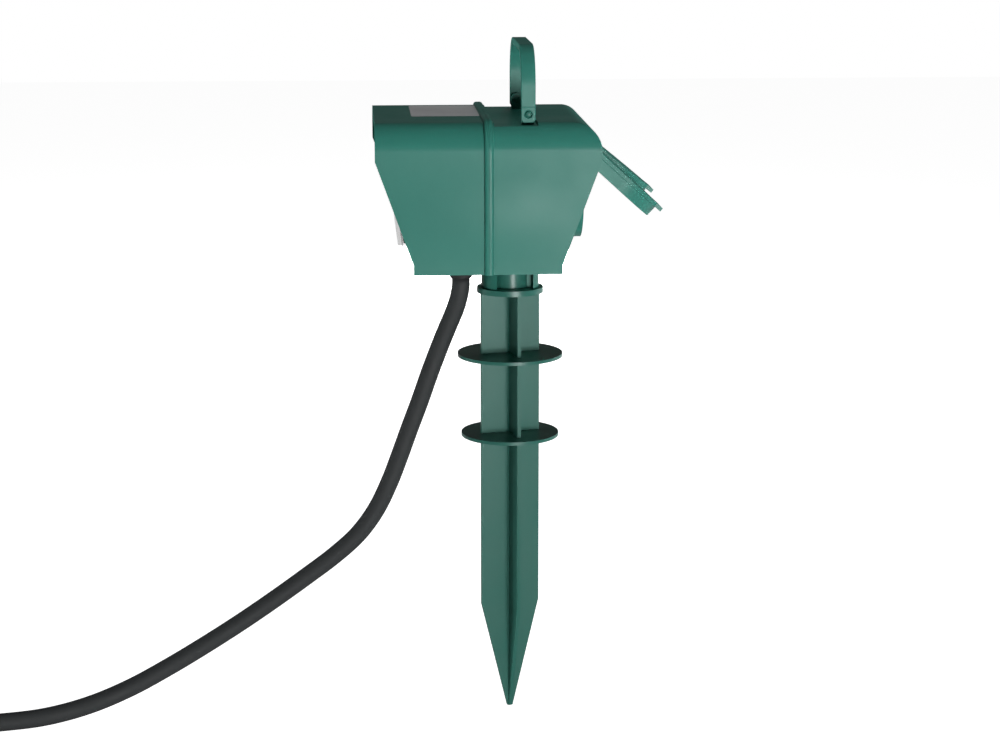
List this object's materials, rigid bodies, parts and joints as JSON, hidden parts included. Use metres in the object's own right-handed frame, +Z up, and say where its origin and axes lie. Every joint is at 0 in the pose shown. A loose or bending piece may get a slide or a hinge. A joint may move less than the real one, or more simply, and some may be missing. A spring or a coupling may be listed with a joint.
{
  "type": "garden socket post",
  "caption": "Green garden power post: head with lidded sockets, covered dial timer and folding handle on a finned ground stake, with a black cord and plug.",
  "frame": {"origin": "tip of the ground stake, on the stake's axis", "axes": "+Z up along the stake, +X towards the sockets, +Y across the head"},
  "size_m": [0.5928, 0.1512, 0.377],
  "materials": {
    "green_plastic": "satin moulded",
    "dark_green_plastic": "satin moulded",
    "black_rubber": "matte",
    "cord_sheath": "matte rubber sheath",
    "black_plastic": "satin",
    "grey_plastic": "satin",
    "clear_plastic": "clear",
    "brass": "plain",
    "steel": "plated",
    "brown_insulation": "satin",
    "blue_insulation": "satin",
    "earth_insulation": "satin"
  },
  "bodies": {
    "post": {"front_shell": "green_plastic", "rear_shell": "green_plastic", "seam_gasket": "black_rubber", "shell_screws": "steel", "near_socket_insert": "black_plastic", "far_socket_insert": "black_plastic", "live_bar": "brass", "neutral_bar": "brass", "earth_bar": "brass", "insert_screws": "steel", "lid_hinge_rod": "steel", "timer_case": "grey_plastic", "timer_back": "grey_plastic", "timer_screws": "steel", "timer_motor": "steel", "timer_contact": "black_plastic", "cover_seal": "black_rubber", "cover_hinge_rod": "steel", "handle_pins": "dark_green_plastic", "stake_neck": "dark_green_plastic", "neck_screws": "steel", "stake": "green_plastic", "stake_screw": "steel", "cord_grommet": "black_rubber", "cord_clamp": "black_plastic", "clamp_screws": "steel", "cord_end": "cord_sheath", "live_wire": "brown_insulation", "switched_wire": "brown_insulation", "neutral_wire": "blue_insulation", "timer_wire": "blue_insulation", "earth_wire": "earth_insulation", "cord_free": "cord_sheath", "cord_coil": "cord_sheath", "coil_tie": "black_plastic", "plug_body": "cord_sheath", "plug_pins": "steel"},
    "near_lid": {"near_lid": "dark_green_plastic", "near_lid_seal": "black_rubber"},
    "far_lid": {"far_lid": "dark_green_plastic", "far_lid_seal": "black_rubber"},
    "cover": {"timer_cover": "clear_plastic"},
    "dial": {"timer_dial": "grey_plastic", "dial_tappets": "black_plastic"},
    "pinion": {"motor_pinion": "brass"},
    "slide": {"override_slide": "black_plastic"},
    "handle": {"handle": "green_plastic"}
  },
  "joints": [
    {"name": "near_lid_hinge", "type": "hinge", "parent": "post", "child": "near_lid", "pos_m": [0.036, -0.027, 0.3248], "axis": [0, -1, 0], "range_deg": [-47.5, 20]},
    {"name": "far_lid_hinge", "type": "hinge", "parent": "post", "child": "far_lid", "pos_m": [0.036, 0.027, 0.3248], "axis": [0, -1, 0], "range_deg": [-51, 16.5]},
    {"name": "cover_hinge", "type": "hinge", "parent": "post", "child": "cover", "pos_m": [-0.06, 0, 0.3308], "axis": [0, 1, 0], "range_deg": [0, 80]},
    {"name": "dial_turn", "type": "hinge", "parent": "post", "child": "dial", "pos_m": [-0.0575, 0, 0.301], "axis": [1, 0, 0], "continuous": true},
    {"name": "pinion_turn", "type": "hinge", "parent": "post", "child": "pinion", "pos_m": [-0.0545, 0.01273, 0.31373], "axis": [1, 0, 0], "continuous": true},
    {"name": "override_slide", "type": "slide", "parent": "post", "child": "slide", "axis": [0, -1, 0], "range_m": [0, 0.003]},
    {"name": "handle_hinge", "type": "hinge", "parent": "post", "child": "handle", "pos_m": [0.0065, 0, 0.3418], "axis": [0, 1, 0], "range_deg": [-80, 80]}
  ],
  "couplings": [
    {"joint": "pinion_turn", "follows": "dial_turn", "ratio": -4}
  ]
}
